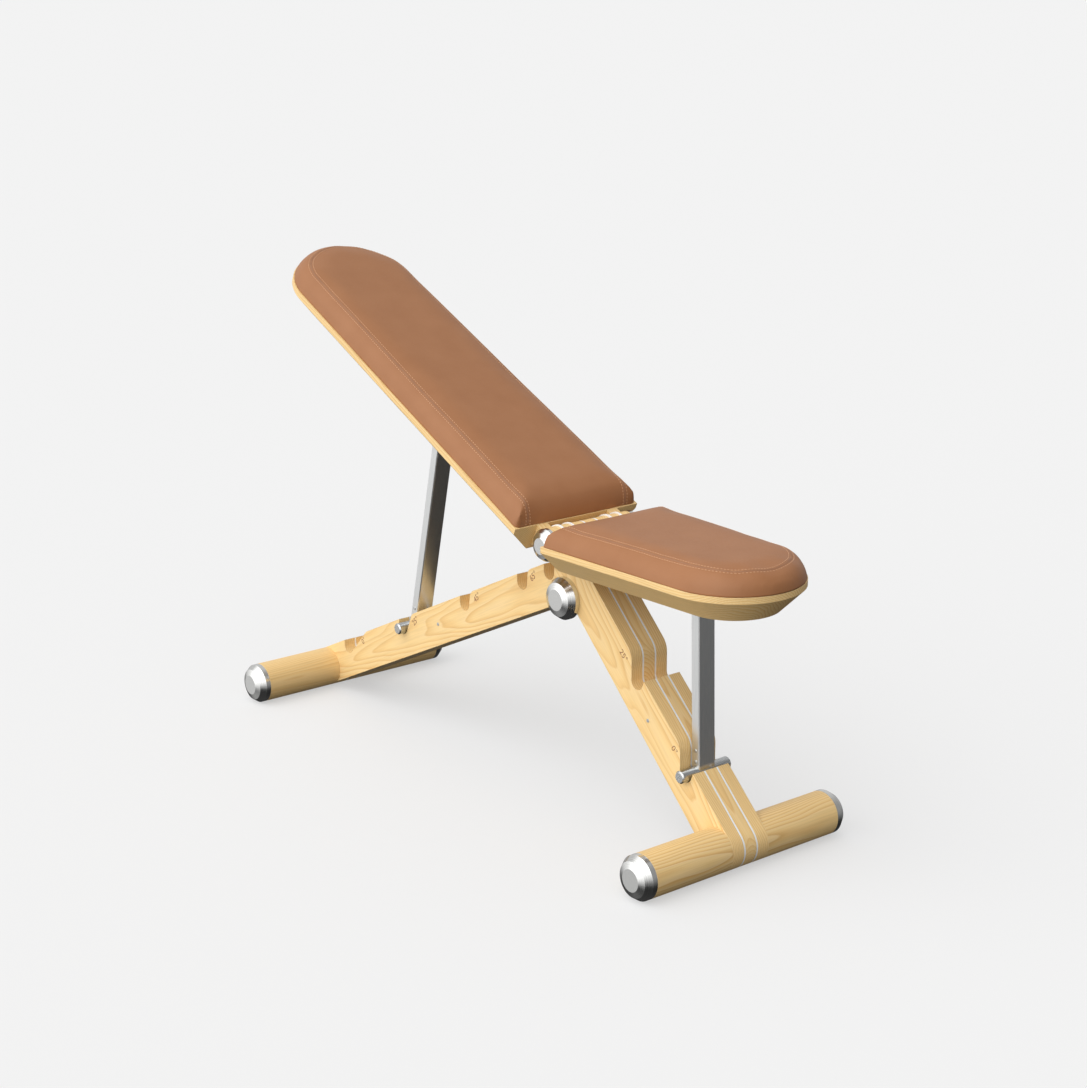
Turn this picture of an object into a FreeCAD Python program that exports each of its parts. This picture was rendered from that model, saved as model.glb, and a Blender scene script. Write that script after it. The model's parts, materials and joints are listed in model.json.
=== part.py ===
import FreeCAD, Part
import math
import os

# Adjustable weight bench: two laminated wooden legs in a V, two turned foot bars, and a seat and a
# backrest that tilt on one hinge axle and stand on steel props whose rods drop into notches.
# Millimetres. +X runs from the backrest's head to the seat's nose, +Y is the left side, +Z is up.
# A side-view point is (x, z). X = 0 is midway between the two ends, Z = 0 is the floor.

# ---------------------------------------------------------------- driving dimensions
FOOT_R = 35.0               # wooden foot bars
FOOT_SPAN = 1063.7          # between the two foot bars' axes
FOOT_HALF_WIDTH = 186.0     # from the middle of the bench to the back of an end cap
STRIP_PROUD = 0.5           # how far the rubber strips stand out under the feet
STRIP_SIZE = (12.0, 110.0, 4.0)

PLY_T = 22.3                # wooden plies of a leg
PLATE_T = 3.0               # steel plates between the plies
HINGE_BACK = 349.1          # hinge axle behind the front foot's axis
HINGE_Z = 440.6
FRONT_LEG_DROP = 60.8       # from the hinge axle straight down to each leg's centre line
REAR_LEG_DROP = 62.7
FRONT_BACK_EDGE = -29.1     # edges of the legs, measured across their centre lines
REAR_TOP_EDGE = 36.0
REAR_LOW_EDGE = -32.7

ROD_D = 20.0
NOTCH_CLEAR = 3.1           # between a rod's radius and a notch's
NOTCH_HEIGHT = 78.0         # clear height above a notch
REST_GAP = 0.3              # between a resting rod and the bottom of its notch
FRONT_NOTCHES = (411.9, 249.8)      # down the front leg from a point level with the hinge axle
FRONT_ACROSS = (18.7, 21.1)
FRONT_LIPS = (33.1, 35.9)   # height of the leg's edge below each notch
FRONT_TOPS = (38.9, 42.2)   # height of the leg's edge above each notch
FRONT_LEAN = 23.0
LIP_BACK = 8.2
BLEND_ALONG = 52.0
BLEND_R = 31.0
REAR_NOTCHES = (735.1, 536.0, 331.4, 155.0, 77.3)  # down the rear leg, measured the same way
REAR_NOTCH_ACROSS = 20.8
REAR_LEANS = (43.0, 23.0, 8.0, 4.0, 3.0)           # lean of each notch's front wall, degrees
REAR_LIP_R = (13.0, 16.0, 16.0, 14.0)

FRONT_PIN_DOWN = 307.6      # leg pins, down the legs like the notches
REAR_PIN_DOWN = 426.8
REAR_PIN_ACROSS = 3.0
LEG_PIN_PROUD = 0.4

AXLE_D = 16.0               # main axle and hinge axle
TIE_D = 12.0                # tie rods through the feet
FIXED_CLEAR = 0.1           # radial clearance of a bolted shaft
RUN_CLEAR = 0.06            # radial clearance of a running fit
SIDE_PLAY = 0.2             # between neighbours on the hinge axle
MAIN_AXLE_DROP = 98.0       # main axle below the hinge axle
MAIN_AXLE_BACK = 10.6
MAIN_CAP_R = 34.5
NECK_SHARE = 2.5            # front edge of the V ends this many knuckle radii under the hinge
NECK_STEP = 1.5
SPLIT_SHARE = 0.8865        # where front plies meet rear plies, under the main axle's caps
SADDLE_STEP = (2.0, 11.0)   # from the last notch to the top of the V
HINGE_CAP_R = 26.2
BOSS_R = 30.0
KNUCKLE_R = 26.0
WASHER_R = 28.3
WASHER_T = 3.0
SEAT_LUG_T = 18.0
BACK_LUG_T = 20.0
LUG_REACH = 150.0           # hinge axle to the far end of a lug's tongue
BUSH_WALL = 2.0
LEG_PIN_D = 6.0

BOARD_START = 35.3          # hinge axle to the end of a board
BOARD_TOP = 12.5            # top of a board above the hinge axle
BOARD_BAND = 10.0
BOARD_CHAMFER = 35.7
BOARD_HALF_WIDTH = 125.0    # at the hinge end
SEAT_STRAIGHT = 333.7       # hinge axle to where a board's straight sides end
SEAT_END_HALF_WIDTH = 110.2
BACK_STRAIGHT = 712.0
BACK_END_HALF_WIDTH = 116.6
LUG_SKIN = 12.0             # wood left above a lug's tongue

PAD_T = 35.0
PAD_INSET = 1.0
PAD_EDGE_R = 25.0
PANEL_T = 9.0               # plywood panel inside a pad
PANEL_INSET = 14.0

BACK_TILT = 25.0            # backrest above level, as it stands
ROD_LENGTH = 100.0
ROD_CHAMFER = 2.0
PROP_W = 33.0
PROP_DEPTH = 17.5
PROP_WALL = 2.5
PROP_BEVEL = 1.5
PIVOT_CLEAR = 2.0           # between a prop's rounded top and its bracket
SEAT_PIVOT_ALONG = 268.0
BACK_PIVOT_ALONG = 395.6
PIN_D = 10.0
BRACKET_T = 3.0
BRACKET_LENGTH = 70.0
BRACKET_GAP = 0.5
BRACKET_SCREW_IN = 8.0      # from the bracket's end
BRACKET_SCREW_FROM_EAR = 7.0
BRACKET_SCREW_LENGTH = 20.0
BRACKET_HEAD_R = 4.0
BRACKET_HEAD_T = 1.6
PIN_PROUD = 2.0             # how far a pivot pin stands out of its bracket
PAD_SCREW_FROM_LUG = 30.0
PAD_SCREW_FROM_END = 25.0
PAD_SCREW_OUT = 55.0        # from the middle of the board
PAD_SCREW_HEAD_R = 6.5
PAD_SCREW_HEAD_T = 4.0
PAD_SCREW_BITE = 4.0        # how far a screw goes into the pad's panel
BLOCK_LENGTH = 50.0
PROP_SCREWS_UP = (17.3, 34.8)     # above the rod's axis
PROP_SCREW_DEEP = 12.0
SCREW_D = 5.0
HEAD_T = 1.0                # how far a prop's screw heads stand out

# ---------------------------------------------------------------- derived places
LEG_HALF = 1.5 * PLY_T + PLATE_T
SEAT_TAPER = math.atan2(BOARD_HALF_WIDTH - SEAT_END_HALF_WIDTH, SEAT_STRAIGHT - BOARD_START)
SEAT_TIP = SEAT_STRAIGHT + SEAT_END_HALF_WIDTH * (1.0 / math.cos(SEAT_TAPER) - math.tan(SEAT_TAPER))
FRONT_X = (FOOT_SPAN + FOOT_R - (SEAT_TIP - HINGE_BACK)) / 2.0
FRONT_FOOT = (FRONT_X, FOOT_R + STRIP_PROUD)
REAR_FOOT = (FRONT_X - FOOT_SPAN, FOOT_R + STRIP_PROUD)
HINGE = (FRONT_X - HINGE_BACK, HINGE_Z)
MAIN_AXLE = (HINGE[0] - MAIN_AXLE_BACK, HINGE_Z - MAIN_AXLE_DROP)
SEAT_LUG_IN = LEG_HALF + SIDE_PLAY + WASHER_T + SIDE_PLAY
SEAT_LUG_OUT = SEAT_LUG_IN + SEAT_LUG_T
BACK_LUG_IN = SEAT_LUG_OUT + SIDE_PLAY + WASHER_T + SIDE_PLAY
BACK_LUG_OUT = BACK_LUG_IN + BACK_LUG_T
HINGE_CAP_AT = BACK_LUG_OUT + SIDE_PLAY
NOTCH_R = ROD_D / 2.0 + NOTCH_CLEAR
BOARD_BOTTOM = BOARD_TOP - BOARD_BAND - BOARD_CHAMFER
PIVOT_UNDER = -BOARD_BOTTOM + BRACKET_T + PROP_DEPTH / 2.0 + PIVOT_CLEAR
BUSH_R = AXLE_D / 2.0 + RUN_CLEAR + BUSH_WALL
FRONT_RAKE = math.degrees(math.atan2(HINGE_Z - FRONT_LEG_DROP - FRONT_FOOT[1], HINGE_BACK))
REAR_RAKE = math.degrees(math.atan2(HINGE_Z - REAR_LEG_DROP - REAR_FOOT[1], FOOT_SPAN - HINGE_BACK))
SIDES = (("left", 1), ("right", -1))


def side(point, y=0.0):
    """A side-view point as a vector."""
    return FreeCAD.Vector(point[0], y, point[1])


def prism(points, y0, y1):
    """A side-view outline made thick from y0 to y1."""
    corners = [side(p, y0) for p in points]
    wire = Part.makePolygon(corners + [corners[0]])
    return Part.Face(wire).extrude(FreeCAD.Vector(0, y1 - y0, 0))


def bar(point, r, y0, y1):
    """A round bar across the bench."""
    return Part.makeCylinder(r, y1 - y0, side(point, y0), FreeCAD.Vector(0, 1, 0))


def on_line(foot, rake, facing, along, across):
    """A point measured from a foot along a leg's centre line and across it, upwards."""
    c = math.cos(math.radians(rake))
    s = math.sin(math.radians(rake))
    x = foot[0] + facing * (along * c - across * s)
    return (x, foot[1] + along * s + across * c)


def front(along, across):
    return on_line(FRONT_FOOT, FRONT_RAKE, -1, along, across)


def rear(along, across):
    return on_line(REAR_FOOT, REAR_RAKE, 1, along, across)


def hinge_along(foot, rake):
    """How far along a leg's centre line its point nearest the hinge axle is."""
    a = math.radians(rake)
    return abs(HINGE[0] - foot[0]) * math.cos(a) + (HINGE[1] - foot[1]) * math.sin(a)


def cross(a, b, c, d):
    """Where line a-b meets line c-d."""
    rx, rz = b[0] - a[0], b[1] - a[1]
    sx, sz = d[0] - c[0], d[1] - c[1]
    t = ((c[0] - a[0]) * sz - (c[1] - a[1]) * sx) / (rx * sz - rz * sx)
    return (a[0] + t * rx, a[1] + t * rz)


def wall_foot(centre, lean):
    """Where a notch's leaning front wall leaves its round bottom."""
    a = math.radians(lean)
    return (centre[0] + NOTCH_R * math.cos(a), centre[1] - NOTCH_R * math.sin(a))


def wall_end(centre, lean, height):
    a = math.radians(lean)
    foot = wall_foot(centre, lean)
    return (foot[0] + height * math.tan(a), foot[1] + height)


def notch(centre, lean, height, half):
    """The space of one notch: a round bottom, an upright back wall and a leaning front wall."""
    back = centre[0] - NOTCH_R
    outline = [(back, centre[1]), wall_foot(centre, lean), wall_end(centre, lean, height),
               (back, centre[1] + height)]
    return bar(centre, NOTCH_R, -half, half).fuse(prism(outline, -half, half)).removeSplitter()


def cross_edges(shape, point, reach=1.0):
    """The edges that run across the bench within reach of a side-view point."""
    found = []
    for edge in shape.Edges:
        a, b = edge.Vertexes[0].Point, edge.Vertexes[-1].Point
        flat = abs(a.x - b.x) < 0.01 and abs(a.z - b.z) < 0.01 and abs(a.y - b.y) > 1.0
        if flat and math.hypot(a.x - point[0], a.z - point[1]) < reach:
            found.append(edge)
    return found


# ---------------------------------------------------------------- the V of two legs
FRONT_REACH = hinge_along(FRONT_FOOT, FRONT_RAKE)
REAR_REACH = hinge_along(REAR_FOOT, REAR_RAKE)
FRONT_CENTRES = [front(FRONT_REACH - down, across) for down, across in zip(FRONT_NOTCHES, FRONT_ACROSS)]
REAR_CENTRES = [rear(REAR_REACH - down, REAR_NOTCH_ACROSS) for down in REAR_NOTCHES]
SPLIT_X = MAIN_AXLE[0] - SPLIT_SHARE * MAIN_CAP_R
SADDLE = (wall_foot(REAR_CENTRES[4], REAR_LEANS[4])[0] + SADDLE_STEP[0],
          REAR_CENTRES[4][1] + SADDLE_STEP[1])
CROTCH = cross(front(0, FRONT_BACK_EDGE), front(100, FRONT_BACK_EDGE),
               rear(0, REAR_LOW_EDGE), rear(100, REAR_LOW_EDGE))


def tangent_point(point, centre, r):
    """Where a line from a point touches the far left of a circle."""
    dx, dz = point[0] - centre[0], point[1] - centre[1]
    d = math.hypot(dx, dz)
    a = math.atan2(dz, dx) - math.acos(r / d)
    return (centre[0] + r * math.cos(a), centre[1] + r * math.sin(a))


def front_edge(i):
    """Two points on the front leg's edge below notch i, or above the last notch."""
    if i == 0:
        start = front(0, FOOT_R)
    else:
        start = front(FRONT_REACH - FRONT_NOTCHES[i - 1] + BLEND_ALONG, FRONT_TOPS[i - 1])
    if i < len(FRONT_NOTCHES):
        return start, front(FRONT_REACH - FRONT_NOTCHES[i] - LIP_BACK, FRONT_LIPS[i])
    return start, front(FRONT_REACH - NECK_SHARE * KNUCKLE_R, FRONT_TOPS[i - 1] - NECK_STEP)


def back_wall(centre):
    """Two points on a notch's upright back wall."""
    return (centre[0] - NOTCH_R, centre[1]), (centre[0] - NOTCH_R, centre[1] + 1.0)


def leg_blank(half):
    """Both legs as one V, without bores."""
    blends = [cross(*front_edge(i + 1), *back_wall(FRONT_CENTRES[i])) for i in range(2)]
    front_outline = [front(0, FOOT_R)]
    for i in range(2):
        front_outline.append(cross(*front_edge(i), *back_wall(FRONT_CENTRES[i])))
        front_outline.append(blends[i])
    front_outline += [front_edge(2)[1], HINGE, tangent_point(SADDLE, HINGE, KNUCKLE_R), SADDLE, CROTCH,
                      front(12, FRONT_BACK_EDGE), FRONT_FOOT]
    top_edge = (rear(0, FOOT_R), rear(REAR_REACH - REAR_NOTCHES[4], REAR_TOP_EDGE))
    rear_outline = [top_edge[0], cross(*top_edge, *back_wall(REAR_CENTRES[4])), SADDLE, CROTCH,
                    rear(9, REAR_LOW_EDGE), REAR_FOOT]
    v = prism(front_outline, -half, half)
    v = v.fuse(prism(rear_outline, -half, half))
    v = v.fuse(bar(FRONT_FOOT, FOOT_R, -half, half))
    v = v.fuse(bar(REAR_FOOT, FOOT_R, -half, half))
    v = v.fuse(bar(HINGE, KNUCKLE_R, -half, half))
    v = v.fuse(bar(MAIN_AXLE, BOSS_R, -half, half))
    for centre in FRONT_CENTRES:
        v = v.cut(notch(centre, FRONT_LEAN, NOTCH_HEIGHT, half + 1))
    for centre, lean in zip(REAR_CENTRES, REAR_LEANS):
        v = v.cut(notch(centre, lean, NOTCH_HEIGHT, half + 1))
    v = v.removeSplitter()
    for blend in blends:
        v = v.makeFillet(BLEND_R, cross_edges(v, blend))
    for centre, lean, r in zip(REAR_CENTRES, REAR_LEANS, REAR_LIP_R):
        lip = cross(wall_foot(centre, lean), wall_end(centre, lean, NOTCH_HEIGHT), *top_edge)
        v = v.makeFillet(r, cross_edges(v, lip))
    return v


LEG_PIN_POINTS = (front(FRONT_REACH - FRONT_PIN_DOWN, 0.0),
                  rear(REAR_REACH - REAR_PIN_DOWN, REAR_PIN_ACROSS))


def leg_parts():
    """The V sawn into three wooden layers and two steel plates, then bored."""
    v = leg_blank(LEG_HALF)
    for point in (HINGE, MAIN_AXLE):
        v = v.cut(bar(point, AXLE_D / 2.0 + FIXED_CLEAR, -LEG_HALF - 1, LEG_HALF + 1))
    for point in (FRONT_FOOT, REAR_FOOT):
        v = v.cut(bar(point, TIE_D / 2.0 + FIXED_CLEAR, -LEG_HALF - 1, LEG_HALF + 1))
    for point in LEG_PIN_POINTS:
        v = v.cut(bar(point, LEG_PIN_D / 2.0, -LEG_HALF - 1, LEG_HALF + 1))
    far = 2.0 * FOOT_SPAN
    layers = {}
    y = LEG_HALF
    for kind, where in (("ply", "left"), ("plate", "left"), ("ply", "middle"),
                        ("plate", "right"), ("ply", "right")):
        thick = PLY_T if kind == "ply" else PLATE_T
        slab = Part.makeBox(2 * far, thick, far, FreeCAD.Vector(-far, y - thick, -1.0))
        layer = v.common(slab)
        if kind == "plate":
            layers["leg_plate_" + where] = layer
        else:
            ahead = Part.makeBox(far, thick, far, FreeCAD.Vector(SPLIT_X, y - thick, -1.0))
            layers["front_leg_ply_" + where] = layer.common(ahead)
            layers["rear_leg_ply_" + where] = layer.cut(ahead)
        y -= thick
    return layers


# ---------------------------------------------------------------- feet, axles and caps
CAP_RIM, CAP_WAIST, CAP_NOSE = 0.249, 0.537, 0.66   # shares of a cap's radius


def turned_cap(point, r, y_back, out, shaft_r):
    """A turned metal end cap: rim, steep cone, shallow cone, flat nose, blind bore for its shaft."""
    profile = [(0, 0), (0, r), (CAP_RIM * r, r), (CAP_WAIST * r, 0.8 * r), (CAP_NOSE * r, 0.5 * r),
               (CAP_NOSE * r, 0)]
    corners = [FreeCAD.Vector(point[0] + b, y_back + out * a, point[1]) for a, b in profile]
    face = Part.Face(Part.makePolygon(corners + [corners[0]]))
    cap = face.revolve(side(point), FreeCAD.Vector(0, 1, 0), 360)
    depth = cap_bore(r)
    low = min(y_back, y_back + out * depth)
    return cap.cut(bar(point, shaft_r, low, low + depth))


def cap_bore(r):
    """Depth of a cap's blind bore."""
    return 0.42 * r


def capped_shaft(point, d, cap_r, y_back):
    """A shaft that reaches into both of its caps."""
    reach = y_back + cap_bore(cap_r) - 0.5
    return bar(point, d / 2.0, -reach, reach)


def foot_parts(name, point):
    parts = {}
    strips = []
    length, depth = STRIP_SIZE[1], STRIP_SIZE[2]
    middle = (LEG_HALF + FOOT_HALF_WIDTH) / 2.0
    for where, out in SIDES:
        y0, y1 = sorted((out * LEG_HALF, out * FOOT_HALF_WIDTH))
        corner = FreeCAD.Vector(point[0] - STRIP_SIZE[0] / 2.0, out * middle - length / 2.0, 0.0)
        strip = Part.makeBox(STRIP_SIZE[0], length, depth, corner)
        wood = bar(point, FOOT_R, y0, y1).cut(bar(point, TIE_D / 2.0 + FIXED_CLEAR, y0, y1))
        parts[name + "_foot_" + where] = wood.cut(strip)
        parts[name + "_foot_cap_" + where] = turned_cap(point, FOOT_R, out * FOOT_HALF_WIDTH, out,
                                                        TIE_D / 2.0)
        strips.append(strip)
    parts[name + "_foot_tie_rod"] = capped_shaft(point, TIE_D, FOOT_R, FOOT_HALF_WIDTH)
    parts[name + "_foot_strips"] = Part.makeCompound(strips)
    return parts


def axle_parts(name, point, cap_r, y_back):
    parts = {name + "_axle": capped_shaft(point, AXLE_D, cap_r, y_back)}
    for where, out in SIDES:
        parts[name + "_axle_cap_" + where] = turned_cap(point, cap_r, out * y_back, out, AXLE_D / 2.0)
    return parts


def ring(point, r_out, r_in, y0, y1):
    return bar(point, r_out, y0, y1).cut(bar(point, r_in, y0 - 1, y1 + 1))


def hinge_washers():
    rings = []
    for inner in (LEG_HALF + SIDE_PLAY, SEAT_LUG_OUT + SIDE_PLAY):
        for y0 in (inner, -inner - WASHER_T):
            rings.append(ring(HINGE, WASHER_R, AXLE_D / 2.0 + FIXED_CLEAR, y0, y0 + WASHER_T))
    return Part.makeCompound(rings)


# ---------------------------------------------------------------- boards and pads
# Built in a hinge frame: +X away from the hinge axle along the board, +Z square to it.


def taper(straight, end_half):
    """Angle between a board's side and its centre line."""
    return math.atan2(BOARD_HALF_WIDTH - end_half, straight - BOARD_START)


def outline_face(straight, end_half, inset, z):
    """A board's outline: straight tapering sides and a round end that they run into."""
    t = taper(straight, end_half)
    r = end_half / math.cos(t)
    centre = straight - r * math.sin(t)
    r -= inset
    start = BOARD_START + inset
    touch_x = centre + r * math.sin(t)
    touch_y = r * math.cos(t)
    start_y = touch_y + (touch_x - start) * math.tan(t)
    a = FreeCAD.Vector(start, -start_y, z)
    b = FreeCAD.Vector(touch_x, -touch_y, z)
    tip = FreeCAD.Vector(centre + r, 0, z)
    c = FreeCAD.Vector(touch_x, touch_y, z)
    d = FreeCAD.Vector(start, start_y, z)
    edges = [Part.LineSegment(a, b).toShape(), Part.Arc(b, tip, c).toShape(),
             Part.LineSegment(c, d).toShape(), Part.LineSegment(d, a).toShape()]
    return Part.Face(Part.Wire(edges))


def rim_edges(shape, z, keep_end):
    """The edges of a slab's outline at one height, with or without those of its hinge end."""
    found = []
    for edge in shape.Edges:
        box = edge.BoundBox
        if abs(box.ZMin - z) < 0.01 and abs(box.ZMax - z) < 0.01:
            if keep_end or box.XMax > shape.BoundBox.XMin + 1.0:
                found.append(edge)
    return found


def tongue(y0, y1):
    """The part of a lug that is let into a board."""
    top = BOARD_TOP - LUG_SKIN
    return Part.makeBox(LUG_REACH - BOARD_START, y1 - y0, top - BOARD_BOTTOM,
                        FreeCAD.Vector(BOARD_START, y0, BOARD_BOTTOM))


def lug(y0, y1):
    """A hinge lug: a knuckle round the axle, a neck, and a tongue let into the board."""
    neck = Part.makeBox(BOARD_START, y1 - y0, KNUCKLE_R + BOARD_TOP,
                        FreeCAD.Vector(0, y0, -KNUCKLE_R))
    knuckle = bar((0, 0), KNUCKLE_R, y0, y1)
    bore = bar((0, 0), BUSH_R, y0 - 1, y1 + 1)
    return knuckle.fuse(neck).fuse(tongue(y0, y1)).cut(bore).removeSplitter()


def screw(x, y, z, up, d, head_r, head_t, length):
    """A round-headed screw whose head sits outwards from (x, y, z) and whose shank goes inwards."""
    axis = FreeCAD.Vector(0, 0, up)
    head = Part.makeCylinder(head_r, head_t, FreeCAD.Vector(x, y, z), FreeCAD.Vector(0, 0, -up))
    shank = Part.makeCylinder(d / 2.0, length, FreeCAD.Vector(x, y, z), axis)
    head = head.makeFillet(0.45 * head_t, [e for e in head.Edges if e.Closed
                                           and abs(e.BoundBox.ZMin - (z - up * head_t)) < 0.01])
    return head.fuse(shank).removeSplitter()


def bracket_parts(name, along):
    """The steel U under a board that holds a prop's pin, with the pin and four screws."""
    inner = PROP_W / 2.0 + BRACKET_GAP
    outer = inner + BRACKET_T
    pin_z = -PIVOT_UNDER
    ear_r = PIN_D
    base = Part.makeBox(BRACKET_LENGTH, 2 * outer, BRACKET_T,
                        FreeCAD.Vector(along - BRACKET_LENGTH / 2.0, -outer, BOARD_BOTTOM - BRACKET_T))
    u = base
    for y0 in (inner, -outer):
        ear = Part.makeBox(2 * ear_r, BRACKET_T, BOARD_BOTTOM - pin_z,
                           FreeCAD.Vector(along - ear_r, y0, pin_z))
        u = u.fuse(ear).fuse(bar((along, pin_z), ear_r, y0, y0 + BRACKET_T))
    u = u.cut(bar((along, pin_z), PIN_D / 2.0, -outer - 1, outer + 1))
    pin = bar((along, pin_z), PIN_D / 2.0, -outer - PIN_PROUD, outer + PIN_PROUD)
    screws = []
    for x in (-1, 1):
        for y in (-1, 1):
            screws.append(screw(along + x * (BRACKET_LENGTH / 2.0 - BRACKET_SCREW_IN),
                                y * (inner - BRACKET_SCREW_FROM_EAR), BOARD_BOTTOM - BRACKET_T, 1,
                                SCREW_D, BRACKET_HEAD_R, BRACKET_HEAD_T, BRACKET_SCREW_LENGTH))
    screws = Part.makeCompound(screws)
    u = u.cut(screws).removeSplitter()
    return {name + "_bracket": u, name + "_pivot_pin": pin, name + "_bracket_screws": screws}


def upholstered_board(name, straight, end_half, lug_in, lug_t, pivot_along):
    """A wooden board with its pad, hinge lugs, bushes, bracket and screws, in the hinge frame."""
    parts = {}
    depth = BOARD_BAND + BOARD_CHAMFER
    board = outline_face(straight, end_half, 0.0, BOARD_BOTTOM).extrude(FreeCAD.Vector(0, 0, depth))
    board = board.makeChamfer(BOARD_CHAMFER, rim_edges(board, BOARD_BOTTOM, False))
    bushes = []
    for where, out in SIDES:
        y0, y1 = sorted((out * lug_in, out * (lug_in + lug_t)))
        parts[name + "_lug_" + where] = lug(y0, y1)
        board = board.cut(tongue(y0, y1))
        bushes.append(ring((0, 0), BUSH_R, AXLE_D / 2.0 + RUN_CLEAR, y0, y1))
    parts[name + "_lug_bushes"] = Part.makeCompound(bushes)

    pad = outline_face(straight, end_half, PAD_INSET, BOARD_TOP).extrude(FreeCAD.Vector(0, 0, PAD_T))
    pad = pad.makeFillet(PAD_EDGE_R, rim_edges(pad, BOARD_TOP + PAD_T, True))
    panel = outline_face(straight, end_half, PANEL_INSET, BOARD_TOP)
    panel = panel.extrude(FreeCAD.Vector(0, 0, PANEL_T))
    parts[name + "_pad"] = pad.cut(panel)
    screws = []
    for x in (LUG_REACH + PAD_SCREW_FROM_LUG, straight - PAD_SCREW_FROM_END):
        for y in (-PAD_SCREW_OUT, PAD_SCREW_OUT):
            sink = Part.makeCylinder(PAD_SCREW_HEAD_R, PAD_SCREW_HEAD_T, FreeCAD.Vector(x, y, BOARD_BOTTOM))
            fixing = Part.makeCylinder(SCREW_D / 2.0, depth + PAD_SCREW_BITE,
                                       FreeCAD.Vector(x, y, BOARD_BOTTOM))
            screws.append(sink.fuse(fixing).removeSplitter())
    screws = Part.makeCompound(screws)
    parts[name + "_pad_panel"] = panel.cut(screws)
    parts[name + "_pad_screws"] = screws
    parts.update(bracket_parts(name, pivot_along))
    parts[name + "_board"] = board.cut(screws).cut(parts[name + "_bracket_screws"])
    return parts


# ---------------------------------------------------------------- props
# Built hanging: the pivot at the origin, the rod's axis straight below it.


def prop_parts(name, length):
    """A rectangular steel tube with a cross rod in its foot."""
    half_w, half_d = PROP_W / 2.0, PROP_DEPTH / 2.0
    rod_at = (0.0, -length)
    rod = bar(rod_at, ROD_D / 2.0, -ROD_LENGTH / 2.0, ROD_LENGTH / 2.0)
    rod = rod.makeChamfer(ROD_CHAMFER, [e for e in rod.Edges if e.Closed])
    tube = Part.makeBox(PROP_DEPTH, PROP_W, length, FreeCAD.Vector(-half_d, -half_w, -length))
    tube = tube.makeChamfer(PROP_BEVEL, [e for e in tube.Edges if e.BoundBox.ZLength > length - 1])
    cheek = half_w - PROP_WALL
    tube = tube.fuse(bar((0, 0), half_d, -half_w + PROP_BEVEL, half_w - PROP_BEVEL)).removeSplitter()
    hollow = Part.makeBox(PROP_DEPTH - 2 * PROP_WALL, 2 * cheek, length + 2 * half_d,
                          FreeCAD.Vector(-half_d + PROP_WALL, -cheek, -length))
    saddle = bar(rod_at, ROD_D / 2.0, -half_w - 1, half_w + 1)
    bore = bar((0, 0), PIN_D / 2.0 + RUN_CLEAR, -half_w - 1, half_w + 1)
    block = Part.makeBox(PROP_DEPTH - 2 * PROP_WALL, 2 * cheek, BLOCK_LENGTH,
                         FreeCAD.Vector(-half_d + PROP_WALL, -cheek, -length))
    screws = []
    for up in PROP_SCREWS_UP:
        for out in (1, -1):
            place = (0.0, up - length)
            y0, y1 = sorted((out * half_w, out * (half_w + HEAD_T)))
            head = bar(place, 0.6 * SCREW_D, y0, y1)
            outer = [e for e in head.Edges if e.Closed and abs(abs(e.BoundBox.YMin) - half_w) > 0.5]
            head = head.makeFillet(0.4 * HEAD_T, outer)
            y0, y1 = sorted((out * half_w, out * (half_w - PROP_SCREW_DEEP)))
            screws.append(head.fuse(bar(place, SCREW_D / 2.0, y0, y1)).removeSplitter())
    screws = Part.makeCompound(screws)
    bush = ring((0, 0), half_d - PROP_WALL, PIN_D / 2.0 + RUN_CLEAR, -cheek, cheek)
    return {name + "_prop_tube": tube.cut(hollow).cut(saddle).cut(bore).cut(screws),
            name + "_prop_block": block.cut(saddle).cut(screws),
            name + "_prop_bush": bush, name + "_prop_rod": rod, name + "_prop_screws": screws}


def place_board(shape, tilt, facing):
    """From the hinge frame to the bench."""
    shape = shape.copy()
    origin = FreeCAD.Vector(0, 0, 0)
    if facing < 0:
        shape.rotate(origin, FreeCAD.Vector(0, 0, 1), 180)
    shape.rotate(origin, FreeCAD.Vector(0, 1, 0), -facing * tilt)
    shape.translate(side(HINGE))
    return shape


def board_point(along, across, tilt, facing):
    """A side-view point given in the hinge frame."""
    c = math.cos(math.radians(tilt))
    s = math.sin(math.radians(tilt))
    return (HINGE[0] + facing * (along * c - across * s), HINGE[1] + along * s + across * c)


def rod_rest(centre):
    """A rod's axis when it rests in the bottom of a notch."""
    return (centre[0], centre[1] - (NOTCH_R - ROD_D / 2.0 - REST_GAP))


def placed_prop(name, pivot, rod):
    """A prop hung from its pivot and swung so that its rod lies in its notch."""
    dx, dz = rod[0] - pivot[0], rod[1] - pivot[1]
    swing = math.degrees(math.atan2(-dx, -dz))
    parts = {}
    for key, shape in prop_parts(name, math.hypot(dx, dz)).items():
        shape = shape.copy()
        shape.rotate(FreeCAD.Vector(0, 0, 0), FreeCAD.Vector(0, 1, 0), swing)
        shape.translate(side(pivot))
        parts[key] = shape
    return parts


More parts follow.
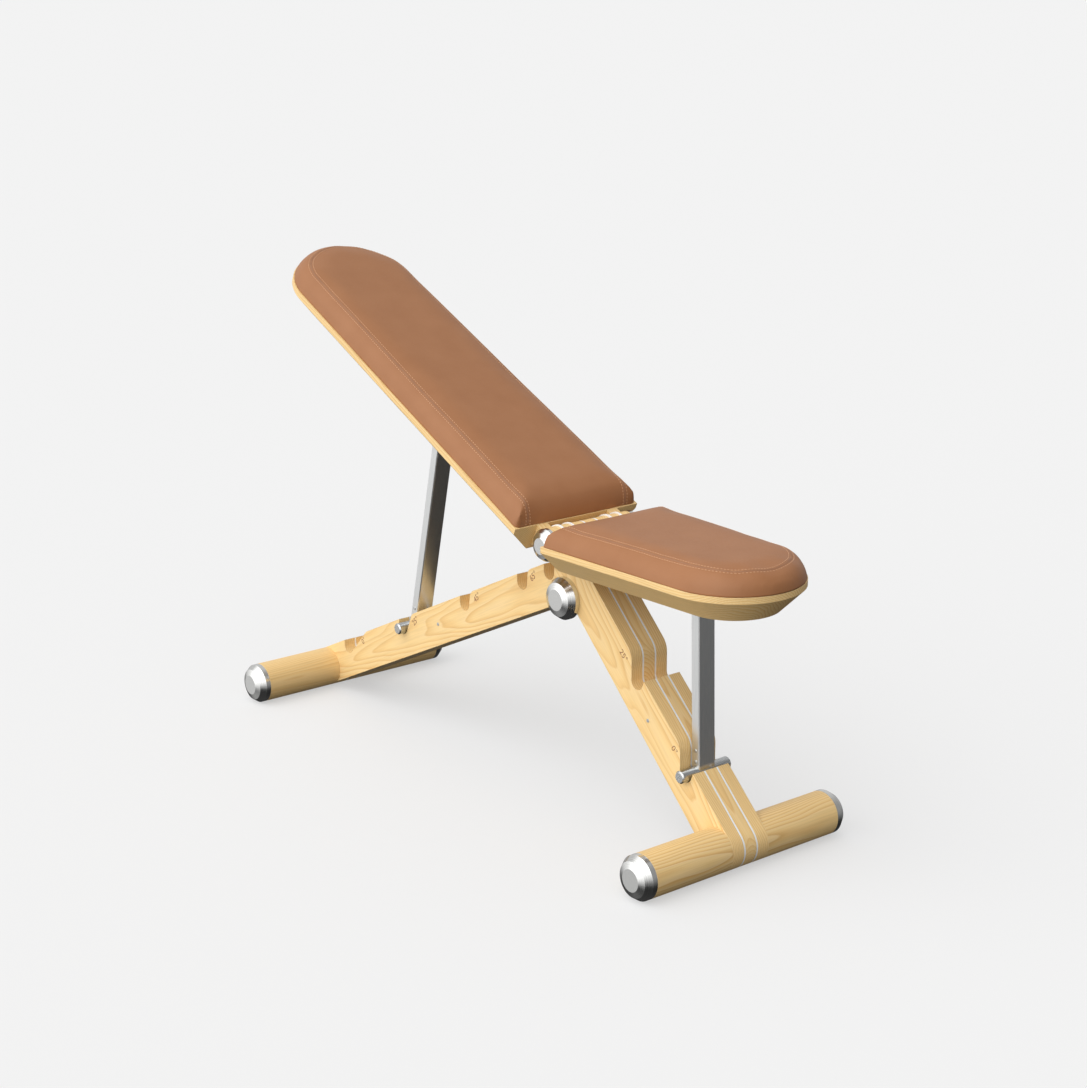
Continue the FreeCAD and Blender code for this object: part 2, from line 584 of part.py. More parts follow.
def build():
    parts = leg_parts()
    parts["leg_pins"] = Part.makeCompound([bar(point, LEG_PIN_D / 2.0, -LEG_HALF - LEG_PIN_PROUD,
                                               LEG_HALF + LEG_PIN_PROUD)
                                           for point in LEG_PIN_POINTS])
    parts.update(foot_parts("front", FRONT_FOOT))
    parts.update(foot_parts("rear", REAR_FOOT))
    parts.update(axle_parts("main", MAIN_AXLE, MAIN_CAP_R, LEG_HALF))
    parts.update(axle_parts("hinge", HINGE, HINGE_CAP_R, HINGE_CAP_AT))
    parts["hinge_washers"] = hinge_washers()

    seat = upholstered_board("seat", SEAT_STRAIGHT, SEAT_END_HALF_WIDTH, SEAT_LUG_IN, SEAT_LUG_T,
                             SEAT_PIVOT_ALONG)
    for key, shape in seat.items():
        parts[key] = place_board(shape, 0.0, 1)
    back = upholstered_board("backrest", BACK_STRAIGHT, BACK_END_HALF_WIDTH, BACK_LUG_IN, BACK_LUG_T,
                             BACK_PIVOT_ALONG)
    for key, shape in back.items():
        parts[key] = place_board(shape, BACK_TILT, -1)

    seat_pivot = board_point(SEAT_PIVOT_ALONG, -PIVOT_UNDER, 0.0, 1)
    back_pivot = board_point(BACK_PIVOT_ALONG, -PIVOT_UNDER, BACK_TILT, -1)
    parts.update(placed_prop("seat", seat_pivot, rod_rest(FRONT_CENTRES[0])))
    parts.update(placed_prop("backrest", back_pivot, rod_rest(REAR_CENTRES[1])))
    print("hinge", HINGE, "seat pivot", seat_pivot, "backrest pivot", back_pivot)
    return parts


if __name__ == "__main__":
    os.makedirs("parts", exist_ok=True)
    for node, solid in sorted(build().items()):
        solid.exportStep("parts/" + node + ".step")
        box = solid.BoundBox
        print("%-24s %3d solids %10.0f mm3  valid %s  z %7.1f..%7.1f" % (
            node, len(solid.Solids), solid.Volume, solid.isValid(), box.ZMin, box.ZMax))
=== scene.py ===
import bpy
import bmesh
import json
import math
from mathutils import Matrix, Vector
from mathutils.bvhtree import BVHTree


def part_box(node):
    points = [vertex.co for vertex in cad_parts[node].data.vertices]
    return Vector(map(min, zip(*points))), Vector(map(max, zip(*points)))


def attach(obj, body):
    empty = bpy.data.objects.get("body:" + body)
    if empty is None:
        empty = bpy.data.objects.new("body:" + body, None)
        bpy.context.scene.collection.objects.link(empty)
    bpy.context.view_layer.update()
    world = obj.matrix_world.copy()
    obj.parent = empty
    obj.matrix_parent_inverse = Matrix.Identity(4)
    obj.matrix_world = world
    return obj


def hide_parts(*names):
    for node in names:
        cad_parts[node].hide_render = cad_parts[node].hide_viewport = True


# Adjustable weight bench in oiled pine, stainless steel and tan leather. Metres, in the frame's own axes.

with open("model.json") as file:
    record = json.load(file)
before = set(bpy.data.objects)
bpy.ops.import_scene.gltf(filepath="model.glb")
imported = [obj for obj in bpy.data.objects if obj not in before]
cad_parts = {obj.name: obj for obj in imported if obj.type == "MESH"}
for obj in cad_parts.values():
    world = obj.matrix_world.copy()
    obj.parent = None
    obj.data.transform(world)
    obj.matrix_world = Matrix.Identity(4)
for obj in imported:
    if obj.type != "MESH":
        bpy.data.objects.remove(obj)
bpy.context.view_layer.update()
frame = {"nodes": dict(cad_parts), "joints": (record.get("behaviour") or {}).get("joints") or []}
NODES = frame["nodes"]
JOINTS = {joint["name"]: joint for joint in frame["joints"]}
HINGE = Vector(JOINTS["seat_tilt"]["pos_m"])
MM = 0.001

# ------------------------------------------------------------------ sizes of the soft parts
BACK_TILT = math.radians(25.0)        # backrest above level, as the frame has it
BOARD_TOP = 12.5 * MM                 # square to a board, above the hinge axle
BOARD_START = 35.3 * MM
BOARD_HALF = 125.0 * MM
PANEL_T = 9.0 * MM
PADS = {"seat": (333.7 * MM, 110.2 * MM),          # where the straight sides end, and the half width there
        "backrest": (712.0 * MM, 116.6 * MM)}
MERGE = 0.01 * MM                     # corners closer than this are one
SEAM_IN = 25.0 * MM                   # seam inside a board's outline
SEAM_ROLL = (34.0 * MM, 12.0 * MM)    # centre of its turn over the hinge end, along the board and up
SEAM_FOOT = 3.0 * MM                  # lowest point of the seam on the end face, above the board
SEAM_FOOT_STEPS = 5                   # rays up the end face, round its top, and round the nose
SEAM_ROLL_STEPS = 15
SEAM_NOSE_STEPS = 48
SEAM_SIDE_STEP = 6.0 * MM             # between rays along the sides
RAY_HEIGHT = 0.12                     # rays start well clear of the leather
RAY_OUT = 0.08
SETTLE_FROM = 12.0 * MM               # and this far above a line that is already on it
STITCH_OFF = 4.0 * MM                 # stitch rows each side of the seam
STITCH_PITCH = 5.2 * MM
STITCH_LENGTH = 3.6 * MM
STITCH_LIFT = 0.55 * MM
STITCH_SUNK = 0.25 * MM
THREAD_R = 0.42 * MM
ROLL_R = 0.9 * MM                     # the two turned edges that meet in the seam
ROLL_OFF = 0.8 * MM
ROLL_SUNK = 0.5 * MM
ROLL_STEP = 2.5 * MM
VOXEL = 5.0 * MM
PAD_SHRINK = 2.0 * MM
PAD_TUCK = 22.0 * MM                  # above the board; the cover starts smaller from there up
PAD_FLUSH = 1.6 * MM
PAD_SKIRT = 12.0 * MM                 # trimmed off along the board once the pad is filled
PAD_SWELL = 5.0 * MM                  # how far the cover may move as it fills
PAD_GAP = 0.2 * MM                    # between a trimmed cover and its board
CLOTH_FRAMES = 20
SMOOTH_PASSES = 12                    # evens out the creases the foam would press flat


def only(piece):
    """Makes a piece the one selected and active object."""
    bpy.ops.object.select_all(action="DESELECT")
    piece.select_set(True)
    bpy.context.view_layer.objects.active = piece


def apply_modifier(piece, kind, **settings):
    """Adds a modifier with its settings and applies it."""
    only(piece)
    modifier = piece.modifiers.new(kind.lower(), kind)
    for key, value in settings.items():
        setattr(modifier, key, value)
    bpy.ops.object.modifier_apply(modifier=modifier.name)


# ------------------------------------------------------------------ materials


def linear(code):
    """An sRGB hex colour as linear RGBA."""
    parts = [int(code[i:i + 2], 16) / 255.0 for i in (1, 3, 5)]
    return [c / 12.92 if c <= 0.04045 else ((c + 0.055) / 1.055) ** 2.4 for c in parts] + [1.0]


def add(tree, kind, inputs=None, stops=None, **settings):
    """Adds a node, with its settings, its colour stops and what each input holds or is linked to."""
    node = tree.nodes.new(kind)
    for key, value in settings.items():
        setattr(node, key, value)
    for key, value in (inputs or {}).items():
        if isinstance(value, bpy.types.NodeSocket):
            tree.links.new(value, node.inputs[key])
        else:
            node.inputs[key].default_value = value
    for number, (position, code) in enumerate(stops or []):
        if number > 1:
            node.color_ramp.elements.new(position)
        node.color_ramp.elements[number].position = position
        node.color_ramp.elements[number].color = linear(code)
    return node


def fresh_material(name):
    """An empty material, its node tree and the piece's own coordinates."""
    material = bpy.data.materials.new(name)
    material.use_nodes = True
    tree = material.node_tree
    tree.nodes.clear()
    place = add(tree, "ShaderNodeTexCoord").outputs["Object"]
    return material, tree, place


def finish_material(tree, **inputs):
    """Ends a material with its shader. An input's name is the socket's, with _ for a space."""
    shader = add(tree, "ShaderNodeBsdfPrincipled", {key.replace("_", " "): value
                                                    for key, value in inputs.items()})
    add(tree, "ShaderNodeOutputMaterial", {"Surface": shader.outputs["BSDF"]})


def eased_edges(tree, radius):
    """A normal that rounds sharp edges over, and a mask that is 1 along every sharp edge. Colour lightened
    by it is a painted highlight along the edges, and on the wood rubbed wear as well."""
    eased = add(tree, "ShaderNodeBevel", {"Radius": radius}, samples=4).outputs["Normal"]
    face = add(tree, "ShaderNodeNewGeometry").outputs["Normal"]
    turned = add(tree, "ShaderNodeVectorMath", {0: eased, 1: face}, operation="DOT_PRODUCT")
    edge_highlight_and_wear = add(tree, "ShaderNodeMapRange", {"Value": turned.outputs["Value"], "From Min": 0.995,
                                              "From Max": 0.85})
    return eased, edge_highlight_and_wear.outputs["Result"]


RING = 3.8 * MM                       # growth ring spacing of slow-grown pine
SWAY = 30.0 * MM                      # how far the rings stray
WANDER = (3.2, 16.0, 16.0)            # strays in a metre, along the grain and across it
FIBRES = (9.0, 520.0, 520.0)          # fibre marks in a metre, along the grain and across it


def oiled_pine(name, turn, pith, tone=1.0):
    """Flat-sawn pine, planed and oiled: rings round a pith line cut by the faces, so that a wide face
    shows long cathedrals and an edge shows close stripes. turn lays the grain along local X, pith moves
    the pith line on to or off the piece, and tone makes the whole lighter or darker."""
    material, tree, place = fresh_material(name)
    grain = add(tree, "ShaderNodeMapping", {"Vector": place, "Rotation": turn, "Location": pith})
    long = add(tree, "ShaderNodeMapping", {"Vector": grain.outputs["Vector"], "Scale": WANDER})
    wander = add(tree, "ShaderNodeTexNoise", {"Vector": long.outputs["Vector"], "Scale": 1.0,
                                              "Detail": 2.0, "Roughness": 0.45})
    centred = add(tree, "ShaderNodeVectorMath", {0: wander.outputs["Color"], 1: (0.5, 0.5, 0.5)},
                  operation="SUBTRACT")
    sway = add(tree, "ShaderNodeVectorMath", {0: centred.outputs["Vector"], "Scale": SWAY},
               operation="SCALE")
    bent = add(tree, "ShaderNodeVectorMath", {0: grain.outputs["Vector"], 1: sway.outputs["Vector"]},
               operation="ADD")
    flat = add(tree, "ShaderNodeVectorMath", {0: bent.outputs["Vector"], 1: (0.0, 1.0, 1.0)},
               operation="MULTIPLY")
    radius = add(tree, "ShaderNodeVectorMath", {0: flat.outputs["Vector"]}, operation="LENGTH")
    rings = add(tree, "ShaderNodeMath", {0: radius.outputs["Value"], 1: RING}, operation="DIVIDE")
    phase = add(tree, "ShaderNodeMath", {0: rings.outputs["Value"]}, operation="FRACT")
    wood = add(tree, "ShaderNodeValToRGB", {"Fac": phase.outputs["Value"]},
               stops=[(0.0, "#EDCF9B"), (0.45, "#EBC98B"), (0.75, "#DFB26F"), (0.9, "#CC9850"),
                      (1.0, "#EDCF9B")])
    streaks = add(tree, "ShaderNodeMapping", {"Vector": grain.outputs["Vector"], "Scale": FIBRES})
    fibre = add(tree, "ShaderNodeTexNoise", {"Vector": streaks.outputs["Vector"], "Scale": 1.0,
                                             "Detail": 3.0})
    shade = add(tree, "ShaderNodeMapRange", {"Value": fibre.outputs["Fac"], "From Min": 0.3,
                                             "From Max": 0.7, "To Min": 0.93 * tone, "To Max": 1.04 * tone})
    broad = add(tree, "ShaderNodeTexNoise", {"Vector": long.outputs["Vector"], "Scale": 0.7, "Detail": 1.0})
    warm = add(tree, "ShaderNodeMix", {"Factor": broad.outputs["Fac"], "A": wood.outputs["Color"],
                                       "B": linear("#ECC98C")}, data_type="RGBA")
    coloured = add(tree, "ShaderNodeVectorMath", {0: warm.outputs["Result"],
                                                  "Scale": shade.outputs["Result"]}, operation="SCALE")
    rough = add(tree, "ShaderNodeMapRange", {"Value": fibre.outputs["Fac"], "To Min": 0.42, "To Max": 0.6})
    # every sharp edge is lightened a little towards pale pine: a painted highlight, and rubbed wear as well
    eased, edge_highlight_and_wear = eased_edges(tree, 1.2 * MM)
    highlight_and_wear_share = add(tree, "ShaderNodeMath", {0: edge_highlight_and_wear, 1: 0.35}, operation="MULTIPLY")
    worn_and_highlit = add(tree, "ShaderNodeMix", {"Factor": highlight_and_wear_share.outputs["Value"], "A": coloured.outputs["Vector"],
                                       "B": linear("#F6DFB4")}, data_type="RGBA")
    bump = add(tree, "ShaderNodeBump", {"Height": fibre.outputs["Fac"], "Strength": 0.25,
                                        "Distance": 0.15 * MM, "Normal": eased})
    finish_material(tree, Base_Color=worn_and_highlit.outputs["Result"], Roughness=rough.outputs["Result"],
                    Normal=bump.outputs["Normal"], Specular_IOR_Level=0.4)
    return material


def tan_leather():
    """Full-grain aniline leather, drum-dyed: smooth, with fine pebbling and slightly uneven dye. The
    pebbles are drawn 1.8 mm across so that they show."""
    material, tree, place = fresh_material("aniline_leather_tan")
    cloud = add(tree, "ShaderNodeTexNoise", {"Vector": place, "Scale": 22.0, "Detail": 4.0})
    colour = add(tree, "ShaderNodeValToRGB", {"Fac": cloud.outputs["Fac"]},
                 stops=[(0.3, "#976540"), (0.7, "#9C6A45")])
    pebble = add(tree, "ShaderNodeTexVoronoi", {"Vector": place, "Scale": 1.0 / (1.8 * MM)},
                 feature="SMOOTH_F1")
    fine = add(tree, "ShaderNodeTexNoise", {"Vector": place, "Scale": 1.0 / (2.5 * MM), "Detail": 3.0})
    height = add(tree, "ShaderNodeMath", {0: pebble.outputs["Distance"], 1: fine.outputs["Fac"]},
                 operation="ADD")
    bump = add(tree, "ShaderNodeBump", {"Height": height.outputs["Value"], "Strength": 0.35,
                                        "Distance": 0.22 * MM})
    rough = add(tree, "ShaderNodeMapRange", {"Value": fine.outputs["Fac"], "To Min": 0.4, "To Max": 0.56})
    finish_material(tree, Base_Color=colour.outputs["Color"], Roughness=rough.outputs["Result"],
                    Normal=bump.outputs["Normal"], Specular_IOR_Level=0.32)
    return material


def leather_edge():
    """The cut and turned edge of the same hide inside the seam, darker where it folds."""
    material, tree, place = fresh_material("aniline_leather_seam_fold")
    cloud = add(tree, "ShaderNodeTexNoise", {"Vector": place, "Scale": 60.0, "Detail": 3.0})
    colour = add(tree, "ShaderNodeValToRGB", {"Fac": cloud.outputs["Fac"]},
                 stops=[(0.3, "#8C6144"), (0.7, "#996C4B")])
    bump = add(tree, "ShaderNodeBump", {"Height": cloud.outputs["Fac"], "Strength": 0.2,
                                        "Distance": 0.2 * MM})
    finish_material(tree, Base_Color=colour.outputs["Color"], Roughness=0.6, Normal=bump.outputs["Normal"])
    return material


def waxed_thread():
    """Waxed polyester upholstery thread, twisted, with a soft shine."""
    material, tree, place = fresh_material("waxed_polyester_thread")
    twist = add(tree, "ShaderNodeTexNoise", {"Vector": place, "Scale": 1.0 / (0.6 * MM), "Detail": 2.0})
    colour = add(tree, "ShaderNodeValToRGB", {"Fac": twist.outputs["Fac"]},
                 stops=[(0.3, "#C2906A"), (0.7, "#DDB08A")])
    bump = add(tree, "ShaderNodeBump", {"Height": twist.outputs["Fac"], "Strength": 0.4,
                                        "Distance": 0.1 * MM})
    finish_material(tree, Base_Color=colour.outputs["Color"], Roughness=0.5,
                    Normal=bump.outputs["Normal"], Sheen_Weight=0.2)
    return material


def steel(name, colour, roughness, brushed, stretch, depth, metallic=1.0):
    """Stainless steel 1.4301. brushed turns the marks' long direction to local X; stretch is how many
    marks lie in a metre along it and across it. Every sharp edge is lightened to near white, a painted
    highlight. metallic is under 1 for plate alone, and only for its look: with the plate's near-white
    colour it keeps thin sawn edges pale where there is little to mirror, a painted highlight."""
    material, tree, place = fresh_material(name)
    marks = add(tree, "ShaderNodeMapping", {"Vector": place, "Rotation": brushed})
    scale = add(tree, "ShaderNodeMapping", {"Vector": marks.outputs["Vector"], "Scale": stretch})
    lines = add(tree, "ShaderNodeTexNoise", {"Vector": scale.outputs["Vector"], "Scale": 1.0,
                                             "Detail": 3.0})
    shade = add(tree, "ShaderNodeValToRGB", {"Fac": lines.outputs["Fac"]},
                stops=[(0.3, colour[0]), (0.7, colour[1])])
    rough = add(tree, "ShaderNodeMapRange", {"Value": lines.outputs["Fac"], "To Min": roughness - 0.05,
                                             "To Max": roughness + 0.07})
    # every sharp edge is lightened to near white: a painted highlight
    eased, edge_highlight_and_wear = eased_edges(tree, 0.6 * MM)
    bright = add(tree, "ShaderNodeMix", {"Factor": edge_highlight_and_wear, "A": shade.outputs["Color"],
                                         "B": linear("#F0F0F0")}, data_type="RGBA")
    bump = add(tree, "ShaderNodeBump", {"Height": lines.outputs["Fac"], "Strength": 0.3,
                                        "Distance": depth, "Normal": eased})
    finish_material(tree, Base_Color=bright.outputs["Result"], Metallic=metallic,
                    Roughness=rough.outputs["Result"], Normal=bump.outputs["Normal"])
    return material


def turned_steel(name, centre):
    """Stainless bar turned on a lathe and polished: faint rings round its axis, which runs along Y."""
    material, tree, place = fresh_material(name)
    axis = add(tree, "ShaderNodeMapping", {"Vector": place, "Location": (-centre.x, 0.0, -centre.z)})
    flat = add(tree, "ShaderNodeVectorMath", {0: axis.outputs["Vector"], 1: (1.0, 0.0, 1.0)},
               operation="MULTIPLY")
    radius = add(tree, "ShaderNodeVectorMath", {0: flat.outputs["Vector"]}, operation="LENGTH")
    rings = add(tree, "ShaderNodeTexNoise", {"W": radius.outputs["Value"], "Scale": 1.0 / (0.9 * MM),
                                             "Detail": 2.0}, noise_dimensions="1D")
    shade = add(tree, "ShaderNodeValToRGB", {"Fac": rings.outputs["Fac"]},
                stops=[(0.3, "#CDCDCB"), (0.7, "#DCDCDA")])
    rough = add(tree, "ShaderNodeMapRange", {"Value": rings.outputs["Fac"], "To Min": 0.16, "To Max": 0.26})
    bump = add(tree, "ShaderNodeBump", {"Height": rings.outputs["Fac"], "Strength": 0.15,
                                        "Distance": 0.04 * MM})
    finish_material(tree, Base_Color=shade.outputs["Color"], Metallic=1.0,
                    Roughness=rough.outputs["Result"], Normal=bump.outputs["Normal"])
    return material


def speckled(name, low, high, roughness, metallic, grit):
    """A plain moulded, cast or sanded surface with a fine tooth."""
    material, tree, place = fresh_material(name)
    tooth = add(tree, "ShaderNodeTexNoise", {"Vector": place, "Scale": 1.0 / grit, "Detail": 4.0})
    colour = add(tree, "ShaderNodeValToRGB", {"Fac": tooth.outputs["Fac"]},
                 stops=[(0.3, low), (0.7, high)])
    bump = add(tree, "ShaderNodeBump", {"Height": tooth.outputs["Fac"], "Strength": 0.4,
                                        "Distance": 0.1 * MM})
    finish_material(tree, Base_Color=colour.outputs["Color"], Metallic=metallic, Roughness=roughness,
                    Normal=bump.outputs["Normal"])
    return material


def centre_of(node):
    """The middle of a node's box."""
    low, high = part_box(node)
    return (low + high) / 2.0


def wear(node, material):
    """Gives a CAD node its finish."""
    piece = NODES[node]
    piece.data.materials.clear()
    piece.data.materials.append(material)


# ------------------------------------------------------------------ finishes of the frame's parts
FRONT_RAKE = math.radians(180.0 - 44.6)
REAR_RAKE = math.radians(25.6)
PLY_LAYERS = (("left", 0.0, 1.0), ("middle", 0.35, 0.0), ("right", 0.7, -1.0))  # place along a plank, side
PITH_OUT = 0.062                      # pith of a leg's outer plies from the middle of the bench
PITH_SKEW = 0.03                      # radians between grain and plank
FRONT_GRAIN = 0.3796                  # brings each leg's centre line on to its pith
REAR_GRAIN = -0.2736
BOARD_SKEW = 0.02


def finish_wood():
    """Pine planks, each part with its own grain."""
    for where, shift, out in PLY_LAYERS:
        front = oiled_pine("oiled_pine_front_ply_" + where, (0.0, FRONT_RAKE, PITH_SKEW),
                           (shift, PITH_OUT * out + 0.01, FRONT_GRAIN))
        rear = oiled_pine("oiled_pine_rear_ply_" + where, (0.0, REAR_RAKE, PITH_SKEW),
                          (shift + 0.2, PITH_OUT * out - 0.01, REAR_GRAIN))
        wear("front_leg_ply_" + where, front)
        wear("rear_leg_ply_" + where, rear)
    seat = oiled_pine("oiled_pine_seat_board", (0.0, 0.0, BOARD_SKEW), (0.1, 0.05, -0.36), 0.98)
    back = oiled_pine("oiled_pine_backrest_board", (0.0, -BACK_TILT, BOARD_SKEW), (0.3, 0.04, -0.395), 0.98)
    foot = oiled_pine("oiled_pine_foot_bars", (0.0, 0.0, -math.pi / 2), (0.0, 0.03, 0.02), 0.96)
    for where in ("left", "right"):
        wear("seat_lug_" + where, seat)
        wear("backrest_lug_" + where, back)
        wear("front_foot_" + where, foot)
        wear("rear_foot_" + where, foot)
    wear("seat_board", seat)
    wear("backrest_board", back)


def finish_metal():
    """Stainless plates, tubes, rods, fixings and turned caps, and the bronze bushes."""
    # near white with little metal: the plate's thin sawn edges show as pale lines whatever they face, a
    # painted highlight
    plate = steel("stainless_plate_painted_bright_edge", ("#F2F3F4", "#FAFAFA"), 0.5, (0, 0, 0),
                  (60, 900, 60), 0.05 * MM, 0.15)
    prop = steel("stainless_tube_brushed", ("#D6D8D8", "#E4E4E3"), 0.3, (0, math.pi / 2, 0),
                 (25, 1400, 1400), 0.03 * MM)
    rod = steel("stainless_rod_satin", ("#AFB1B2", "#C4C6C6"), 0.26, (0, 0, math.pi / 2),
                (40, 900, 900), 0.03 * MM)
    bolt = steel("stainless_fixings_bright", ("#B5B7B8", "#CACBCB"), 0.28, (0, 0, 0),
                 (300, 300, 300), 0.02 * MM)
    bronze = speckled("sintered_bearing_bronze", "#8C6A3E", "#A98350", 0.45, 1.0, 0.8 * MM)
    for node in ("leg_plate_left", "leg_plate_right", "hinge_washers", "seat_bracket", "backrest_bracket"):
        wear(node, plate)
    for board in ("seat", "backrest"):
        wear(board + "_prop_tube", prop)
        wear(board + "_prop_block", prop)
        wear(board + "_prop_rod", rod)
        for fixing in ("_prop_screws", "_pad_screws", "_bracket_screws", "_pivot_pin"):
            wear(board + fixing, bolt)
        wear(board + "_prop_bush", bronze)
        wear(board + "_lug_bushes", bronze)
    for node in ("leg_pins", "main_axle", "hinge_axle", "front_foot_tie_rod", "rear_foot_tie_rod"):
        wear(node, bolt)
    for owner in ("front_foot", "rear_foot", "main_axle", "hinge_axle"):
        cap = turned_steel("turned_stainless_" + owner, centre_of(owner + "_cap_left"))
        for where in ("left", "right"):
            wear(owner + "_cap_" + where, cap)


def finish_the_rest():
    """The strips under the feet and the panels inside the pads."""
    rubber = speckled("moulded_nitrile_rubber", "#141414", "#1E1E1E", 0.75, 0.0, 0.7 * MM)
    plywood = speckled("sanded_birch_plywood", "#C7A477", "#D4B487", 0.6, 0.0, 1.5 * MM)
    for node in ("front_foot_strips", "rear_foot_strips"):
        wear(node, rubber)
    for node in ("seat_pad_panel", "backrest_pad_panel"):
        wear(node, plywood)


# ------------------------------------------------------------------ leather pads


def board_matrix(board):
    """From a board's hinge frame, +X away from the axle and +Z square to the board, to the bench."""
    place = Matrix.Translation(HINGE)
    if board == "backrest":
        place = place @ Matrix.Rotation(BACK_TILT, 4, "Y") @ Matrix.Rotation(math.pi, 4, "Z")
    return place


def swell(piece, held_below):
    """Fills a cover as foam does: cloth under pressure, held at its foot, moved no further than a cap."""
    scene = bpy.context.scene
    rest = [v.co.copy() for v in piece.data.vertices]
    group = piece.vertex_groups.new(name="tacked")
    group.add([v.index for v in piece.data.vertices if v.co.z < held_below], 1.0, "REPLACE")
    cloth = piece.modifiers.new("cloth", "CLOTH")
    cloth.settings.quality = 6
    cloth.settings.mass = 0.3
    cloth.settings.tension_stiffness = 18.0
    cloth.settings.compression_stiffness = 18.0
    cloth.settings.bending_stiffness = 2.0
    cloth.settings.use_pressure = True
    cloth.settings.uniform_pressure_force = 4.0
    cloth.settings.vertex_group_mass = "tacked"
    cloth.settings.effector_weights.gravity = 0.0
    for number in range(1, CLOTH_FRAMES + 1):
        scene.frame_set(number)
    solved = piece.evaluated_get(bpy.context.evaluated_depsgraph_get()).data
    moved = [v.co - start for v, start in zip(solved.vertices, rest)]
    piece.modifiers.remove(cloth)
    scene.frame_set(1)
    moved = [step * min(1.0, PAD_SWELL / max(step.length, 1e-9)) for step in moved]
    for step in moved:
        step.x = max(step.x, -PAD_SHRINK)      # no further towards the other pad
    ends = [tuple(edge.vertices) for edge in piece.data.edges]
    for _ in range(SMOOTH_PASSES):
        total = [step.copy() for step in moved]
        count = [1] * len(moved)
        for a, b in ends:
            total[a] += moved[b]
            total[b] += moved[a]
            count[a] += 1
            count[b] += 1
        moved = [step / n for step, n in zip(total, count)]
    for vertex, start, step in zip(piece.data.vertices, rest, moved):
        vertex.co = start + step


def cushion(board):
    """A leather-covered foam pad, as large as its soft solid. The pocket for the panel is closed, the
    cover is filled, and what hangs below the board's top is trimmed off."""
    node = NODES[board + "_pad"]
    piece = node.copy()
    piece.data = node.data.copy()
    piece.name = board + "_cushion"
    piece.parent = None
    bpy.context.scene.collection.objects.link(piece)
    place = board_matrix(board)
    piece.data.transform(place.inverted())
    shell = bmesh.new()
    shell.from_mesh(piece.data)
    bmesh.ops.remove_doubles(shell, verts=shell.verts, dist=MERGE)
    pocket = [v for v in shell.verts if abs(v.co.z - BOARD_TOP - PANEL_T) < 0.5 * MM]
    bmesh.ops.delete(shell, geom=pocket, context="VERTS")
    bmesh.ops.holes_fill(shell, edges=[e for e in shell.edges if e.is_boundary])
    bmesh.ops.recalc_face_normals(shell, faces=shell.faces)
    for vertex in shell.verts:
        if vertex.co.z < BOARD_TOP + 1.0 * MM:
            vertex.co.z -= PAD_SKIRT
    shell.to_mesh(piece.data)
    shell.free()
    apply_modifier(piece, "REMESH", mode="VOXEL", voxel_size=VOXEL)
    normals = [v.normal.copy() for v in piece.data.vertices]
    for vertex, normal in zip(piece.data.vertices, normals):
        share = min(1.0, max(0.0, (vertex.co.z - BOARD_TOP) / PAD_TUCK))
        vertex.co += normal * (PAD_FLUSH * (1.0 - share) - PAD_SHRINK * share)
    swell(piece, BOARD_TOP - PAD_SKIRT / 2.0)
    apply_modifier(piece, "SMOOTH", factor=0.5, iterations=3)
    apply_modifier(piece, "SUBSURF", levels=1, render_levels=1)
    shell = bmesh.new()
    shell.from_mesh(piece.data)
    bmesh.ops.bisect_plane(shell, geom=shell.verts[:] + shell.edges[:] + shell.faces[:],
                           plane_co=(0.0, 0.0, BOARD_TOP + PAD_GAP), plane_no=(0.0, 0.0, 1.0),
                           clear_inner=True)
    bmesh.ops.holes_fill(shell, edges=[e for e in shell.edges if e.is_boundary])
    shell.to_mesh(piece.data)
    shell.free()
    for polygon in piece.data.polygons:
        polygon.use_smooth = True
    return piece


def seam_rays(board):
    """Rays from outside a pad on to its seam line: up the near side's end face, along it, round the
    nose and back down the far side's end face, all in the hinge frame."""
    straight, end_half = PADS[board]
    taper = math.atan2(BOARD_HALF - end_half, straight - BOARD_START)
    r = end_half / math.cos(taper)
    centre = straight - r * math.sin(taper)
    roll_x, roll_z = BOARD_START + SEAM_ROLL[0], BOARD_TOP + SEAM_ROLL[1]

    def side_y(x):
        """How far the seam is from the middle of the bench, at x."""
        return end_half + (straight - x) * math.tan(taper) - SEAM_IN / math.cos(taper)

    rays = []
    for i in range(SEAM_FOOT_STEPS):
        z = BOARD_TOP + SEAM_FOOT + (SEAM_ROLL[1] - SEAM_FOOT) * i / (SEAM_FOOT_STEPS - 1.0)
        rays.append((Vector((0.0, -side_y(roll_x), z)), Vector((1, 0, 0))))
    for i in range(1, SEAM_ROLL_STEPS + 1):
        a = math.pi / 2 * i / SEAM_ROLL_STEPS
        out = Vector((-math.cos(a), 0.0, math.sin(a)))
        rays.append((Vector((roll_x, -side_y(roll_x), roll_z)) + out * RAY_OUT, -out))
    steps = int((straight - roll_x) / SEAM_SIDE_STEP)
    for i in range(1, steps + 1):
        x = roll_x + (straight - roll_x) * i / steps
        rays.append((Vector((x, -side_y(x), RAY_HEIGHT)), Vector((0, 0, -1))))
    far_side = rays[::-1]
    low = -(math.pi / 2 - taper)
    for i in range(1, SEAM_NOSE_STEPS):
        a = low - 2.0 * low * i / SEAM_NOSE_STEPS
        rays.append((Vector((centre + (r - SEAM_IN) * math.cos(a), (r - SEAM_IN) * math.sin(a),
                             RAY_HEIGHT)), Vector((0, 0, -1))))
    for origin, way in far_side:
        rays.append((Vector((origin.x, -origin.y, origin.z)), way))
    return rays


def surface_line(tree, rays):
    """Where the rays meet the leather: points and outward normals."""
    points = []
    for origin, way in rays:
        hit, normal, _, _ = tree.ray_cast(origin, way)
        if hit is not None:
            points.append((hit, normal if normal.dot(way) < 0 else -normal))
    return points


